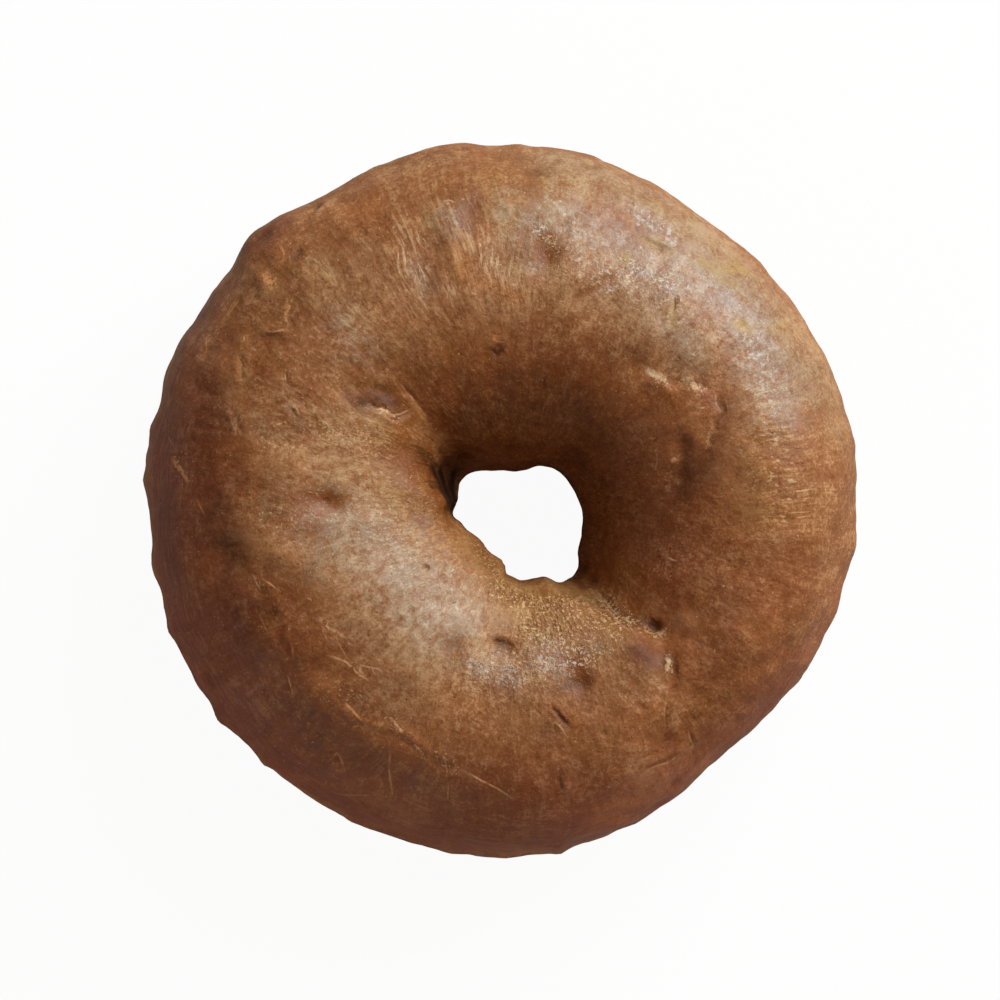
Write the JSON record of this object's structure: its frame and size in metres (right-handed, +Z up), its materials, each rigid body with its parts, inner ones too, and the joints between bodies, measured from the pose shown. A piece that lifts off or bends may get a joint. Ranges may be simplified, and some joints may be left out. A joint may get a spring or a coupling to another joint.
{
  "type": "rye bagel",
  "caption": "Whole baked rye bagel: a plump, uneven ring of dough with a smooth brown crust, soft folds and dimples, a small off-centre hole and a flat underside.",
  "frame": {"origin": "on the surface that the bagel lies on, under the middle of its rim", "axes": "+Z up through the hole, towards the domed top; +Y to the far side as one looks down on it, +X to the right"},
  "size_m": [0.1072, 0.1078, 0.0391],
  "materials": {
    "crust": "smooth baked crust, satin, mottled brown"
  },
  "bodies": {
    "root": {"bagel": "crust"}
  },
  "joints": []
}
